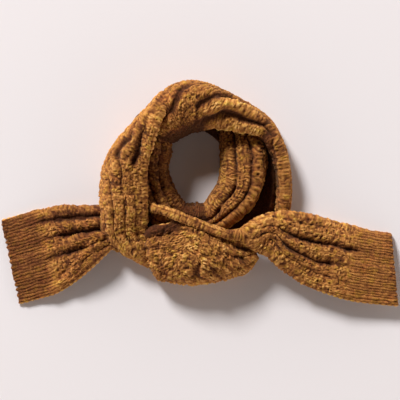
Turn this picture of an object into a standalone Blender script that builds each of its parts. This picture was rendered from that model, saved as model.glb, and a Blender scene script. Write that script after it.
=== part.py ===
"""A knitted scarf wound into a loose coil on a flat surface, with its two ends lying out to either side.

The scarf is one strip, knitted in wide lengthwise ribs, with a fine 1 x 1 rib at both ends. Each stretch that
shows is a solid of its own: a wall of knit, lofted through a short table of sections along its way, with the ribs
raised in the outer points over a plain inside. Where the strip is drawn narrow its ribs fold deeper, because the
strip keeps its width. What lies hidden inside the coil is one rounded solid with a flat underside.

Metres, +Z up, the surface that the scarf lies on at z = 0, the origin in the middle of the scarf's floor box.
"""

from collections import namedtuple
from math import pi

import bmesh
import bpy
import numpy as np

# The strip as knitted
CLOTH_WIDTH = 0.150
WALL = 0.005
RIB_RELIEF = 0.0025
DEEPEST_FOLD = 0.009
STEEPEST_FOLD = 0.4
CUFF_RELIEF = 0.0016
CUFF_RIBS = 27

# Where the grooves between the wide ribs run, as shares of the strip's width, and the facets on each rib. The
# edge ribs are only partly there: how wide they would be if they were whole. The inset is the share of a rib's
# depth by which the strip is drawn in, so that its crests lie near its outline.
RIB_EDGES = (0.0, 0.125, 0.35, 0.575, 0.80, 1.0)
RIB_FACETS = (2, 4, 4, 4, 3)
EDGE_RIBS = (0.225, 0.26)
RIB_INSET = 0.6

# The plain inside: its own shares of the width, and how many outer facets stand over each of its facets
INSIDE_SHARES = (0.0, 0.125, 0.2375, 0.35, 0.4625, 0.575, 0.6875, 0.80, 1.0)
INSIDE_STEPS = (2, 2, 2, 2, 2, 2, 2, 3)
CUFF_INSIDE_STEP = 6

# The gap at a seam, the room round an upper stretch, and the gap between a wall and the layers that fill it
GAP = 0.0003
ROOM = 0.0008
FILLING_GAP = 0.0006
FLOOR_CUT = 0.01

# A section's quarter ovals: the power of their sines, how soon a side counts as steep, and their fine steps
SQUARENESS = 0.8
STEEPNESS = 2.0
FINE_STEPS = 240

# The middle of the floor box, in the coordinates of the tables below
ORIGIN = (0.0011, 0.0024)

YARN = (0.36, 0.17, 0.045, 1.0)
YARN_ROUGHNESS = 0.9

# One row for each section, in the order in which the strip is walked. x and y lie under the section's crest,
# heading is the way that the strip runs, in degrees from +X. left and right are the reaches from there to the
# strip's outline on either hand, left_z and right_z the heights of those edges, and crest is the section's top.
Section = namedtuple("Section", "x y heading left left_z crest right right_z")

LEFT_END = (
    Section(-0.3388, -0.1206, 12.4, 0.0738, 0.0025, 0.0066, 0.0770, 0.0035),
    Section(-0.2760, -0.1008, 14.0, 0.0725, 0.0025, 0.0150, 0.0780, 0.0120),
    Section(-0.2345, -0.0864, 16.0, 0.0655, 0.0030, 0.0250, 0.0670, 0.0200),
    Section(-0.1890, -0.0630, 19.0, 0.0430, 0.0090, 0.0340, 0.0520, 0.0280),
    Section(-0.1510, -0.0560, 5.0, 0.0360, 0.0120, 0.0320, 0.0360, 0.0200),
    Section(-0.1150, -0.0600, -5.0, 0.0330, 0.0120, 0.0290, 0.0330, 0.0160),
)
LEFT_CUFF_ROWS = (0.0, 1.0)
LEFT_TAIL_ROWS = (1.0, 5.0)

OUTER_TURN = (
    Section(0.1134, -0.0882, 35.0, 0.0140, 0.0080, 0.0240, 0.0140, 0.0060),
    Section(0.1440, -0.0576, 62.0, 0.0140, 0.0100, 0.0270, 0.0128, 0.0060),
    Section(0.1530, -0.0162, 86.0, 0.0140, 0.0120, 0.0340, 0.0122, 0.0060),
    Section(0.1539, 0.0324, 93.0, 0.0145, 0.0140, 0.0430, 0.0106, 0.0060),
    Section(0.1440, 0.0774, 108.0, 0.0165, 0.0240, 0.0500, 0.0118, 0.0060),
    Section(0.1206, 0.1160, 128.0, 0.0185, 0.0400, 0.0560, 0.0165, 0.0060),
    Section(0.0864, 0.1395, 150.0, 0.0320, 0.0500, 0.0680, 0.0200, 0.0060),
    Section(0.0461, 0.1588, 165.0, 0.0435, 0.0480, 0.0790, 0.0240, 0.0200),
    Section(0.0077, 0.1724, 178.0, 0.0610, 0.0160, 0.0930, 0.0290, 0.0340),
    Section(-0.0312, 0.1703, 195.0, 0.0640, 0.0120, 0.0975, 0.0305, 0.0360),
    Section(-0.0632, 0.1493, 215.0, 0.0590, 0.0120, 0.0920, 0.0270, 0.0300),
    Section(-0.0878, 0.1159, 232.0, 0.0460, 0.0140, 0.0640, 0.0300, 0.0120),
)

INNER_TURN = (
    Section(-0.0878, 0.1159, 232.0, 0.0460, 0.0140, 0.0640, 0.0300, 0.0120),
    Section(-0.1044, 0.0468, 270.0, 0.0485, 0.0060, 0.0450, 0.0220, 0.0200),
    Section(-0.0954, 0.0036, 285.0, 0.0510, 0.0060, 0.0450, 0.0220, 0.0200),
    Section(-0.0738, -0.0342, 308.0, 0.0480, 0.0060, 0.0430, 0.0200, 0.0200),
    Section(-0.0414, -0.0558, 335.0, 0.0430, 0.0060, 0.0360, 0.0180, 0.0200),
    Section(-0.0072, -0.0630, 360.0, 0.0465, 0.0060, 0.0340, 0.0180, 0.0200),
    Section(0.0270, -0.0576, 385.0, 0.0430, 0.0060, 0.0370, 0.0160, 0.0180),
    Section(0.0594, -0.0378, 407.0, 0.0530, 0.0060, 0.0460, 0.0140, 0.0150),
    Section(0.0846, -0.0036, 426.0, 0.0560, 0.0060, 0.0470, 0.0200, 0.0120),
    Section(0.0954, 0.0396, 446.0, 0.0565, 0.0060, 0.0470, 0.0235, 0.0120),
    Section(0.0936, 0.0792, 453.0, 0.0550, 0.0060, 0.0420, 0.0250, 0.0120),
    Section(0.0864, 0.1116, 463.0, 0.0500, 0.0060, 0.0310, 0.0220, 0.0120),
    Section(0.0774, 0.1332, 470.0, 0.0440, 0.0060, 0.0290, 0.0200, 0.0120),
)
INNER_LEFT_ROWS = (0.0, 5.0)
INNER_RIGHT_ROWS = (5.0, 12.0)

LEFT_STRAND = (
    Section(-0.0580, 0.1760, -128.0, 0.0120, 0.0790, 0.0930, 0.0120, 0.0460),
    Section(-0.0800, 0.1430, -124.0, 0.0180, 0.0880, 0.0995, 0.0175, 0.0360),
    Section(-0.1050, 0.1050, -114.0, 0.0290, 0.0910, 0.1000, 0.0262, 0.0060),
    Section(-0.1268, 0.0648, -98.0, 0.0370, 0.0780, 0.0880, 0.0375, 0.0060),
    Section(-0.1359, 0.0198, -91.0, 0.0420, 0.0620, 0.0750, 0.0410, 0.0120),
    Section(-0.1350, -0.0270, -88.0, 0.0410, 0.0500, 0.0670, 0.0400, 0.0350),
    Section(-0.1296, -0.0684, -74.0, 0.0370, 0.0380, 0.0480, 0.0410, 0.0160),
    Section(-0.1080, -0.1000, -52.0, 0.0240, 0.0280, 0.0420, 0.0220, 0.0100),
    Section(-0.0840, -0.1220, -38.0, 0.0140, 0.0180, 0.0300, 0.0140, 0.0080),
)

FRONT_WRAP = (
    Section(-0.0900, -0.0918, 14.0, 0.0220, 0.0250, 0.0340, 0.0400, 0.0100),
    Section(-0.0820, -0.0936, 10.0, 0.0330, 0.0380, 0.0530, 0.0500, 0.0090),
    Section(-0.0612, -0.1026, -4.0, 0.0480, 0.0500, 0.0595, 0.0535, 0.0080),
    Section(-0.0252, -0.1026, -8.0, 0.0580, 0.0560, 0.0680, 0.0600, 0.0080),
    Section(0.0108, -0.1080, -3.0, 0.0500, 0.0570, 0.0700, 0.0540, 0.0080),
    Section(0.0468, -0.1098, 3.0, 0.0400, 0.0510, 0.0620, 0.0420, 0.0100),
    Section(0.0792, -0.1116, 10.0, 0.0280, 0.0440, 0.0530, 0.0290, 0.0140),
    Section(0.1026, -0.1044, 15.0, 0.0120, 0.0400, 0.0470, 0.0120, 0.0280),
)

RIGHT_END = (
    Section(-0.0882, -0.0225, -17.0, 0.0085, 0.0470, 0.0580, 0.0085, 0.0470),
    Section(-0.0576, -0.0315, -19.0, 0.0085, 0.0570, 0.0680, 0.0085, 0.0570),
    Section(-0.0306, -0.0414, -21.0, 0.0085, 0.0615, 0.0725, 0.0085, 0.0615),
    Section(-0.0036, -0.0522, -22.0, 0.0085, 0.0630, 0.0740, 0.0085, 0.0630),
    Section(0.0234, -0.0630, -20.0, 0.0085, 0.0630, 0.0740, 0.0085, 0.0630),
    Section(0.0504, -0.0711, -12.0, 0.0090, 0.0610, 0.0725, 0.0090, 0.0610),
    Section(0.0756, -0.0738, 0.0, 0.0120, 0.0540, 0.0700, 0.0120, 0.0580),
    Section(0.0990, -0.0684, 3.0, 0.0230, 0.0450, 0.0670, 0.0210, 0.0520),
    Section(0.1314, -0.0702, -15.0, 0.0385, 0.0370, 0.0560, 0.0380, 0.0400),
    Section(0.1674, -0.0864, -20.0, 0.0525, 0.0330, 0.0500, 0.0520, 0.0270),
    Section(0.2178, -0.1044, -16.0, 0.0598, 0.0100, 0.0370, 0.0640, 0.0255),
    Section(0.2538, -0.1152, -13.0, 0.0615, 0.0050, 0.0325, 0.0662, 0.0270),
    Section(0.2862, -0.1251, -8.0, 0.0640, 0.0030, 0.0290, 0.0664, 0.0240),
    Section(0.3510, -0.1341, 5.0, 0.0660, 0.0025, 0.0245, 0.0660, 0.0200),
)
RIGHT_TAIL_ROWS = (0.0, 12.0)
RIGHT_CUFF_ROWS = (12.0, 13.0)

# The stretches that are raised on hidden layers
RAISED = ("front_wrap", "left_strand", "outer_turn", "inner_right", "inner_left")

# The layers under the coil: an oval ring with a rounded edge for each layer, as centre and half sizes
BED_CENTRE = (-0.005, 0.024)
BED_OUTER = (0.152, 0.162)
BED_HOLE_CENTRE = (-0.008, 0.044)
BED_HOLE = (0.060, 0.072)
BED_LAYERS = 3
BED_LAYER = 0.0055
BED_STEP = 0.006
BED_SIDES = 40
LAYER_FACETS = 3


def spline(rows, stations):
    """The table's columns at the stations, which count in rows, on a Catmull-Rom curve through the rows."""
    table = np.array(rows)
    first = np.minimum(stations.astype(int), len(table) - 2)
    share = (stations - first)[:, None]
    padded = np.vstack([2 * table[0] - table[1], table, 2 * table[-1] - table[-2]])
    before, start, end, after = (padded[first + step] for step in range(4))
    cubic = 3 * (start - end) + after - before
    square = 2 * before - 5 * start + 4 * end - after
    return start + 0.5 * share * (end - before + share * (square + share * cubic))


def arches(sections, inset):
    """Each section's curve at fine steps from its left edge to its right: two quarter ovals that meet at the
    crest. The inset draws in the top by its whole size, and each side by as much of it as the side is steep."""
    _, _, _, left, left_z, crest, right, right_z = (column[:, None] for column in sections.T)
    turn = np.linspace(0, pi, FINE_STEPS)[None]
    out = np.abs(np.cos(turn)) ** SQUARENESS
    up = np.abs(np.sin(turn)) ** SQUARENESS
    on_left = turn < pi / 2
    reach = np.where(on_left, left, right)
    edge_z = np.where(on_left, left_z, right_z)
    steep = np.minimum(STEEPNESS * (crest - edge_z) / reach, 1)
    sideways = np.where(on_left, 1, -1) * (reach - inset * steep) * out
    return sideways, edge_z + (np.maximum(crest - inset, edge_z) - edge_z) * up


def lengths(sideways, height):
    """The length along each section's curve, from its left edge to each fine step."""
    steps = np.hypot(np.diff(sideways), np.diff(height))
    return np.hstack([np.zeros((len(steps), 1)), np.cumsum(steps, axis=1)])


def fold_depths(sections):
    """How deep the ribs fold in each section: a strip drawn narrower than it was knitted folds into waves whose
    length makes up the difference."""
    drawn = lengths(*arches(sections, 0))[:, -1:]
    slack = np.maximum(CLOTH_WIDTH / drawn - 1, 0)
    pitch = drawn * (RIB_EDGES[2] - RIB_EDGES[1])
    deepest = np.minimum(DEEPEST_FOLD, STEEPEST_FOLD * pitch)
    return np.minimum(RIB_RELIEF + 2 / pi * pitch * np.sqrt(slack), deepest)


def middle(sections, shares, relief):
    """The middle of the wall, as points by section and by share of the way across."""
    sideways, height = arches(sections, WALL / 2 + relief)
    along = lengths(sideways, height)
    across = shares * along[:, -1:]
    sideways = np.array([np.interp(*row) for row in zip(across, along, sideways)])
    height = np.array([np.interp(*row) for row in zip(across, along, height)])
    heading = np.radians(sections[:, 2:3])
    x = sections[:, 0:1] - np.sin(heading) * sideways - ORIGIN[0]
    y = sections[:, 1:2] + np.cos(heading) * sideways - ORIGIN[1]
    return np.stack([x, y, height], axis=2)


def outward(points):
    """Unit normals of a grid of points, away from the surface that the strip lies on."""
    normal = np.cross(np.gradient(points, axis=1), np.gradient(points, axis=0))
    return normal / np.linalg.norm(normal, axis=2, keepdims=True)


def rib_shares():
    """The shares of the width at which the facets of the wide ribs meet."""
    spans = zip(RIB_EDGES, RIB_EDGES[1:], RIB_FACETS)
    parts = [np.linspace(start, end, facets, endpoint=False) for start, end, facets in spans]
    return np.append(np.concatenate(parts), 1.0)


def rib_profile(shares):
    """0 in the grooves between the wide ribs and 1 on their crests; both edges of the strip end in a half rib."""
    grooves = np.array(RIB_EDGES)
    grooves[0], grooves[-1] = grooves[1] - EDGE_RIBS[0], grooves[-2] + EDGE_RIBS[1]
    rib = np.clip(np.searchsorted(grooves, shares, side="right") - 1, 0, len(grooves) - 2)
    inside = (shares - grooves[rib]) / (grooves[rib + 1] - grooves[rib])
    return np.sqrt(np.clip(np.sin(pi * inside), 0, 1))


def whole(rows):
    """The span of all of a table's rows."""
    return (0, len(rows) - 1)


def stations_of(rows, span, count):
    """Even stations over the rows from span[0] to span[1], half a gap short of both ends, with one more beyond
    each end where the table goes on: those two only steer the normals, so that stretches meet square."""
    table = np.array(rows)[:, :2]
    first, last = int(span[0]), int(span[1])
    start = GAP / 2 / np.linalg.norm(table[first + 1] - table[first])
    end = GAP / 2 / np.linalg.norm(table[last] - table[last - 1])
    stations, step = np.linspace(span[0] + start, span[1] - end, count, retstep=True)
    stations = np.concatenate([stations[:1] - step, stations, stations[-1:] + step])
    return np.clip(stations, 0, len(table) - 1)


def loft(name, rows_out, rows_in, steps):
    """A closed wall between two grids of points, as a new object. rows_out is its outer face, and steps says how
    many of its facets stand over each facet of rows_in. Every quad is split the same way, so that two faces laid
    one on another from the same sections keep their gap."""
    mesh = bmesh.new()
    outer = [[mesh.verts.new(point) for point in row] for row in rows_out]
    inner = [[mesh.verts.new(point) for point in row] for row in rows_in]
    for face in (outer, inner):
        for row, following in zip(face, face[1:]):
            for at in range(len(row) - 1):
                mesh.faces.new((row[at], row[at + 1], following[at + 1]))
                mesh.faces.new((row[at], following[at + 1], following[at]))
    for edge in (0, -1):
        for row, low, next_row, next_low in zip(outer, inner, outer[1:], inner[1:]):
            mesh.faces.new((row[edge], low[edge], next_low[edge], next_row[edge]))
        start = 0
        for at, facets in enumerate(steps):
            over = outer[edge][start : start + facets + 1]
            mesh.faces.new((*over, inner[edge][at + 1], inner[edge][at]))
            start += facets
    bmesh.ops.recalc_face_normals(mesh, faces=mesh.faces)
    return new_object(name, mesh)


def new_object(name, mesh):
    """Puts a bmesh into a new mesh object of the scene."""
    data = bpy.data.meshes.new(name)
    mesh.to_mesh(data)
    mesh.free()
    body = bpy.data.objects.new(name, data)
    bpy.context.scene.collection.objects.link(body)
    return body


def offset(points, distance):
    """The points moved out of their surface by the distance, without the first and the last row."""
    return (points + outward(points) * distance)[1:-1]


def inside(sections, depth, beyond):
    """The plain inner face of the wall, or a face as far beyond it."""
    points = middle(sections, np.array(INSIDE_SHARES), RIB_INSET * depth)
    return offset(points, -WALL / 2 - beyond)


def widened(points, growth):
    """The grid of points with its four edges moved out along the surface by the growth."""
    points = points.copy()
    columns = points.swapaxes(0, 1)
    for grid in (points, columns):
        for edge, beside in ((grid[0], grid[1].copy()), (grid[-1], grid[-2].copy())):
            away = edge - beside
            edge += growth * away / np.linalg.norm(away, axis=1, keepdims=True)
    return points


def wall(name, rows, span, count, growth=0.0):
    """A stretch of the strip with its wide ribs raised over a plain inside, flat where it meets the surface."""
    sections = spline(rows, stations_of(rows, span, count))
    shares = rib_shares()
    depth = fold_depths(sections)
    points = middle(sections, shares, RIB_INSET * depth)
    relief = WALL / 2 + growth + (depth * rib_profile(shares))[:, :, None]
    under = inside(sections, depth, growth)
    under[:, :, 2] = np.maximum(under[:, :, 2], -growth)
    return loft(name, widened(offset(points, relief), growth), widened(under, growth), INSIDE_STEPS)


def cuff(name, rows, span, count):
    """An end of the strip in 1 x 1 rib: one ridge for each knit column, over a plain inside."""
    sections = spline(rows, stations_of(rows, span, count))
    shares = np.linspace(0, 1, 2 * CUFF_RIBS + 1)
    inset = np.full((len(sections), 1), CUFF_RELIEF)
    over = middle(sections, shares, inset)
    relief = WALL / 2 + CUFF_RELIEF * (np.arange(len(shares)) % 2)[None, :, None]
    under = offset(middle(sections, shares[::CUFF_INSIDE_STEP], inset), -WALL / 2)
    under[:, :, 2] = np.maximum(under[:, :, 2], 0)
    steps = [CUFF_INSIDE_STEP] * (len(shares) // CUFF_INSIDE_STEP)
    return loft(name, offset(over, relief), under, steps)


def filling(name, rows, span, count):
    """The layers under one stretch: from just inside its wall straight down past the surface."""
    sections = spline(rows, stations_of(rows, span, count))
    points = inside(sections, fold_depths(sections), FILLING_GAP)
    floor = points.copy()
    floor[:, :, 2] = -FLOOR_CUT
    return loft(name, points, floor, [1] * len(INSIDE_STEPS))


def floor_block():
    """A block whose top is the surface that the scarf lies on, to cut the hidden layers flat."""
    mesh = bmesh.new()
    bmesh.ops.create_cube(mesh, size=1)
    bmesh.ops.translate(mesh, vec=(0, 0, -0.5), verts=mesh.verts)
    return new_object("floor_block", mesh)


def bed():
    """The lowest layers: an oval ring round the neck hole, each layer with a rounded edge and a little smaller."""
    outer_edge, hole_edge = [], []
    for layer in range(BED_LAYERS):
        for facet in range(min(layer, 1), LAYER_FACETS + 1):
            turn = pi * facet / LAYER_FACETS
            bulge = BED_LAYER / 2 * np.sin(turn) - BED_STEP * layer
            height = BED_LAYER * (layer + (1 - np.cos(turn)) / 2)
            outer_edge.append((BED_CENTRE, BED_OUTER, bulge, height))
            hole_edge.append((BED_HOLE_CENTRE, BED_HOLE, -bulge, height))
    profile = outer_edge + hole_edge[::-1]
    mesh = bmesh.new()
    rings = []
    for side in range(BED_SIDES):
        around = 2 * pi * side / BED_SIDES
        ring = []
        for centre, half, grow, height in profile:
            x = centre[0] + (half[0] + grow) * np.cos(around) - ORIGIN[0]
            y = centre[1] + (half[1] + grow) * np.sin(around) - ORIGIN[1]
            ring.append(mesh.verts.new((x, y, height)))
        rings.append(ring)
    for side, ring in enumerate(rings):
        following = rings[(side + 1) % BED_SIDES]
        for at in range(len(ring)):
            beside = (at + 1) % len(ring)
            mesh.faces.new((ring[at], ring[beside], following[beside], following[at]))
    bmesh.ops.recalc_face_normals(mesh, faces=mesh.faces)
    return new_object("bed", mesh)


def combine(body, others, operation):
    """Joins the others to a solid or cuts them from it, and keeps its largest body."""
    for other in others:
        modifier = body.modifiers.new(other.name, "BOOLEAN")
        modifier.operation = operation
        modifier.object = other
    evaluated = body.evaluated_get(bpy.context.evaluated_depsgraph_get())
    mesh = bmesh.new()
    mesh.from_mesh(bpy.data.meshes.new_from_object(evaluated))
    body.modifiers.clear()
    drop_crumbs(mesh)
    mesh.to_mesh(body.data)
    mesh.free()


def drop_crumbs(mesh):
    """Deletes every connected piece of a mesh but the one with the most points."""
    left = set(mesh.verts)
    pieces = []
    while left:
        piece, edge = set(), [left.pop()]
        while edge:
            vert = edge.pop()
            piece.add(vert)
            beside = {link.other_vert(vert) for link in vert.link_edges} & left
            left -= beside
            edge.extend(beside)
        pieces.append(piece)
    pieces.sort(key=len)
    for piece in pieces[:-1]:
        bmesh.ops.delete(mesh, geom=list(piece), context="VERTS")


def yarn():
    """The golden brown wool, matte."""
    material = bpy.data.materials.new("yarn")
    material.use_nodes = True
    shader = material.node_tree.nodes["Principled BSDF"]
    shader.inputs["Base Color"].default_value = YARN
    shader.inputs["Roughness"].default_value = YARN_ROUGHNESS
    shader.inputs["Metallic"].default_value = 0.0
    return material


def main():
    for old in list(bpy.data.objects):
        bpy.data.objects.remove(old)

    cuffs = [
        cuff("right_cuff", RIGHT_END, RIGHT_CUFF_ROWS, 4),
        cuff("left_cuff", LEFT_END, LEFT_CUFF_ROWS, 4),
    ]
    # From the top of the pile down, so that what lies under a stretch is cut to make room for it
    pile = [
        ("right_tail", RIGHT_END, RIGHT_TAIL_ROWS, 26),
        ("front_wrap", FRONT_WRAP, whole(FRONT_WRAP), 15),
        ("left_strand", LEFT_STRAND, whole(LEFT_STRAND), 19),
        ("outer_turn", OUTER_TURN, whole(OUTER_TURN), 24),
        ("inner_right", INNER_TURN, INNER_RIGHT_ROWS, 15),
        ("inner_left", INNER_TURN, INNER_LEFT_ROWS, 11),
        ("left_tail", LEFT_END, LEFT_TAIL_ROWS, 11),
    ]
    stretches = [wall(*stretch) for stretch in pile]
    rooms = [wall(name + "_room", *where, ROOM) for name, *where in pile]
    fillings = [filling("under_" + name, *where) for name, *where in pile if name in RAISED]
    floor = floor_block()
    for place, stretch in enumerate(stretches):
        combine(stretch, rooms[:place], "DIFFERENCE")
    hidden = bed()
    hidden.name = "hidden_layers"
    combine(hidden, fillings, "UNION")
    combine(hidden, [floor, *rooms], "DIFFERENCE")

    material = yarn()
    for body in [*cuffs, *stretches, hidden]:
        body.data.materials.clear()
        body.data.materials.append(material)
    for helper in [*fillings, *rooms, floor]:
        bpy.data.objects.remove(helper)


main()
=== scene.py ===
"""The dressed scarf: each stretch of the strip as a fine sheet of chunky knit, on the form of its solid.

Every sheet is a surface of two parameters. One is the station, which counts the rows of the stretch's table of
sections, and the other is the place across the strip, which counts its lengthwise ribs. The sheet is the middle of
the cloth, plus its half thickness, the swell of the ribs, the creases and the relief of the stitches along the
normal.
"""

from collections import namedtuple

import bmesh
import bpy
import numpy as np
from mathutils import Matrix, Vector


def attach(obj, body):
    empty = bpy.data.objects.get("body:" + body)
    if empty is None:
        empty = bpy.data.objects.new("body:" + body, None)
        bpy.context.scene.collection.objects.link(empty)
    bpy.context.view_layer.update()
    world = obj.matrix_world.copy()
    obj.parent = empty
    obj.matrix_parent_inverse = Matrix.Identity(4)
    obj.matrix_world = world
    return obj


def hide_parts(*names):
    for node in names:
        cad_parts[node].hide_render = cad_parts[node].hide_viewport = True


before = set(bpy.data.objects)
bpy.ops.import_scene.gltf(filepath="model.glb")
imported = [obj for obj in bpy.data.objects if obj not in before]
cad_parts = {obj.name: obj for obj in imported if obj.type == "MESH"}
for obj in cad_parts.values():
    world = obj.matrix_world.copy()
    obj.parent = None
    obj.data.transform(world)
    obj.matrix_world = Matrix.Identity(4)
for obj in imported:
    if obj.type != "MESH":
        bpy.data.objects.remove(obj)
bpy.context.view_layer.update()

# The strip, as in its solids but for RIB_POWER, which shapes the ribs. They fold no deeper than DEEPEST_FOLD and
# STEEPEST_FOLD of their pitch, RIB_PITCH of the width. RIB_INSET is the share of their depth that draws in the cloth's
# middle. SQUARENESS is the power of the arches, and STEEPNESS how soon a side counts as steep. EDGE_RIBS is where the
# first rib's half sine starts and the last one's ends. ORIGIN is the tables' zero.
CLOTH_WIDTH = 0.15
WALL = 0.005
RIB_RELIEF = 0.0025
DEEPEST_FOLD = 0.009
STEEPEST_FOLD = 0.4
RIB_INSET = 0.6
RIB_PITCH = 0.225
SQUARENESS = 0.8
STEEPNESS = 2.0
EDGE_RIBS = (0.44, 0.77)
RIB_POWER = 0.7
FINE_STEPS = 240
CREST_STEPS = 1500
ORIGIN = (0.0011, 0.0024)

# The knitting: the length of a row, the width of a tuft's strand, the columns of the 1 x 1 rib, the stitches of the
# lead, the bulky knit's clumps, the relief of stitches, 1 x 1 rib and fibres, the share of it below the cloth's face,
# a chain's lobes to the stitch and their slant, and the most stitches in a column
ROW = 0.0041
STRAND = 0.0044
CUFF_RIBS = 27
LEAD_STITCH = 0.008
CLUMP_SIZE = (0.021, 0.018)
STITCH_RELIEF = 0.0042
CUFF_RELIEF = 0.0021
FIBRE_RELIEF = 0.0005
SUNK_SHARE = 0.42
CHAIN_RATE = 1.35
CHAIN_SLANT = 0.8
MOST_STITCHES = 700

# Hand knitting is uneven: the length and width of each kind of patch, how far and over what length the grooves drift
# and waver in depth, the length of a lump and of its waver, and the size of the tables of random values
THREADS = (0.0052, 0.0042)
SHIFTS = (0.013, 0.013)
MIXTURE = (0.017, 0.017)
PITS = (0.0044, 0.0036)
BEADS = (0.003, 0.0027)
STRENGTH = (0.018, 0.014)
FIBRES = ((0.0021, 0.0065), (0.0048, 0.0024))
HILLS = (0.02, 0.02)
HILL_HEIGHT = 0.0008
GROOVE_DRIFT = 0.07
DRIFT_LENGTH = 0.011
GROOVE_WAVER = 0.85
WAVER_LENGTH = 0.015
LUMP_LENGTH = 0.0175
LUMP_WAVER = 0.03
LATTICE = 64

# How the sheets are divided: the step along, the columns on each rib and under each inner facet, the rows round an
# edge, and the columns that the normals are worked out on
STEP = 0.00115
COLUMNS = (22, 38, 38, 38, 34)
INNER_EVERY = 10
EDGE_TURNS = 5
COARSE_SHARES = 90
# The least height over the floor and over the cloth's middle, how far the sheet is drawn in beyond its ribs, how far a
# tuck reaches, and the lengths over which an open end is thin, scalloped and painted with shade between the scallops
FLOOR_CLEARANCE = 0.0003
DEEPEST_POINT = -0.0012
EDGE_INSET = 0.001
TUCK_LENGTH = 0.022
END_THINS = 0.0035
END_SCALLOPS = 0.006
END_PAINTED_SHADE = 0.009
# The soft edges of an area of painted shade or painted light, in stations and in shares of the width
SOFT_EDGES = (0.5, 0.12)

# The lower layers: the size of their facets, the length, depth and lean of their stitches, the size of their patches,
# the middle of the coil, and the radii that stitches are counted on, that the top has and where the outer side starts
LAYER_FACET = 0.0026
LAYER_STITCH = 0.0085
LAYER_RELIEF = 0.0034
LAYER_LEAN = 30
LAYER_PATCH = 0.012
LAYER_SEED = 77
COIL_Y = 0.03
COIL_RADIUS = 0.11
RIDGE_RADIUS = 0.1
OUTER_SIDE = 0.085

# The light: where it stands, its width and watts, and the surround's strength at the horizon and from 37 degrees up.
# Then the floor, which reaches FLOOR_REACH to each side, and the camera's place
KEY_DIRECTION = (-0.78, 1.38, 1.0)
KEY_DISTANCE = 16.0
KEY_SIZE = 4.2
KEY_POWER = 3530.0
SURROUND = (2.65, 0.05)
SURROUND_COLOUR = (1.0, 0.9, 0.84, 1)
FLOOR_COLOUR = (0.82, 0.775, 0.775, 1)
FLOOR_REACH = 6
CAMERA = (0.0007, -0.0132, 6.0)

# How a stretch is knitted: its chart, its stitch's length, how lumpy its ribs are, how much of it is tufts, their
# length and width, and how far their strands lean
Knitting = namedtuple("Knitting", "chart stitch lumpy tufts tuft_size lean")

# The wool's colour along the shade, from painted shade at the bottom of a pit to painted light at the top of a stitch
WOOL_STOPS = (
    (0.0, (0.028, 0.007, 0.0026)),
    (0.22, (0.13, 0.038, 0.011)),
    (0.48, (0.39, 0.155, 0.036)),
    (0.75, (0.62, 0.305, 0.08)),
    (1.0, (0.78, 0.465, 0.162)),
)
# Patches of other dyes: how many to the metre, the noise where they start and are full, their strength and tint
DYES = (
    (60.0, 0.52, 0.68, 0.55, (1.04, 0.84, 0.84)),
    (85.0, 0.5, 0.64, 0.85, (0.95, 1.08, 0.66)),
    (24.0, 0.45, 0.7, 0.45, (0.8, 0.76, 0.72)),
)
# The yarn's plies and fuzz, to the metre, and how far they vary the shade
PLIES_PER_METRE = (170.0, 480.0, 1.0)
FUZZ_PER_METRE = 900.0
GRAIN_CONTRAST = 0.34

# The sections of each stretch, as x, y, heading, left, left_z, crest, right and right_z: place and direction in
# degrees, how far the two edges lie from the crest line, and the heights of the edges and the crest
LEFT_END = (
    (-0.3388, -0.1206, 12.4, 0.0738, 0.0025, 0.0066, 0.077, 0.0035),
    (-0.276, -0.1008, 14, 0.0725, 0.0025, 0.015, 0.078, 0.012),
    (-0.2345, -0.0864, 16, 0.0655, 0.003, 0.025, 0.067, 0.02),
    (-0.189, -0.063, 19, 0.043, 0.009, 0.034, 0.052, 0.028),
    (-0.151, -0.056, 5, 0.036, 0.012, 0.032, 0.036, 0.02),
    (-0.115, -0.06, -5, 0.033, 0.012, 0.029, 0.033, 0.016),
)

OUTER_TURN = (
    (0.1134, -0.0882, 35, 0.014, 0.008, 0.024, 0.014, 0.006),
    (0.144, -0.0576, 62, 0.014, 0.01, 0.027, 0.0128, 0.006),
    (0.153, -0.0162, 86, 0.014, 0.012, 0.034, 0.0122, 0.006),
    (0.1539, 0.0324, 93, 0.0145, 0.014, 0.043, 0.0106, 0.006),
    (0.144, 0.0774, 108, 0.0165, 0.024, 0.05, 0.0118, 0.006),
    (0.1206, 0.116, 128, 0.0185, 0.04, 0.056, 0.0165, 0.006),
    (0.0864, 0.1395, 150, 0.032, 0.05, 0.068, 0.02, 0.006),
    (0.0461, 0.1588, 165, 0.0435, 0.048, 0.079, 0.024, 0.02),
    (0.0077, 0.1724, 178, 0.061, 0.016, 0.093, 0.029, 0.034),
    (-0.0312, 0.1703, 195, 0.064, 0.012, 0.0975, 0.0305, 0.036),
    (-0.0632, 0.1493, 215, 0.059, 0.012, 0.092, 0.027, 0.03),
    (-0.0878, 0.1159, 232, 0.046, 0.014, 0.064, 0.03, 0.012),
)

INNER_TURN = (
    OUTER_TURN[-1],
    (-0.1044, 0.0468, 270, 0.0485, 0.006, 0.045, 0.022, 0.02),
    (-0.0954, 0.0036, 285, 0.051, 0.006, 0.045, 0.022, 0.02),
    (-0.0738, -0.0342, 308, 0.048, 0.006, 0.043, 0.02, 0.02),
    (-0.0414, -0.0558, 335, 0.043, 0.006, 0.036, 0.018, 0.02),
    (-0.0072, -0.063, 360, 0.0465, 0.006, 0.034, 0.018, 0.02),
    (0.027, -0.0576, 385, 0.043, 0.006, 0.037, 0.016, 0.018),
    (0.0594, -0.0378, 407, 0.053, 0.006, 0.046, 0.014, 0.015),
    (0.0846, -0.0036, 426, 0.056, 0.006, 0.047, 0.02, 0.012),
    (0.0954, 0.0396, 446, 0.0565, 0.006, 0.047, 0.0235, 0.012),
    (0.0936, 0.0792, 453, 0.055, 0.006, 0.042, 0.025, 0.012),
    (0.0864, 0.1116, 463, 0.05, 0.006, 0.031, 0.022, 0.012),
    (0.0774, 0.1332, 470, 0.044, 0.006, 0.029, 0.02, 0.012),
)

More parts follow.
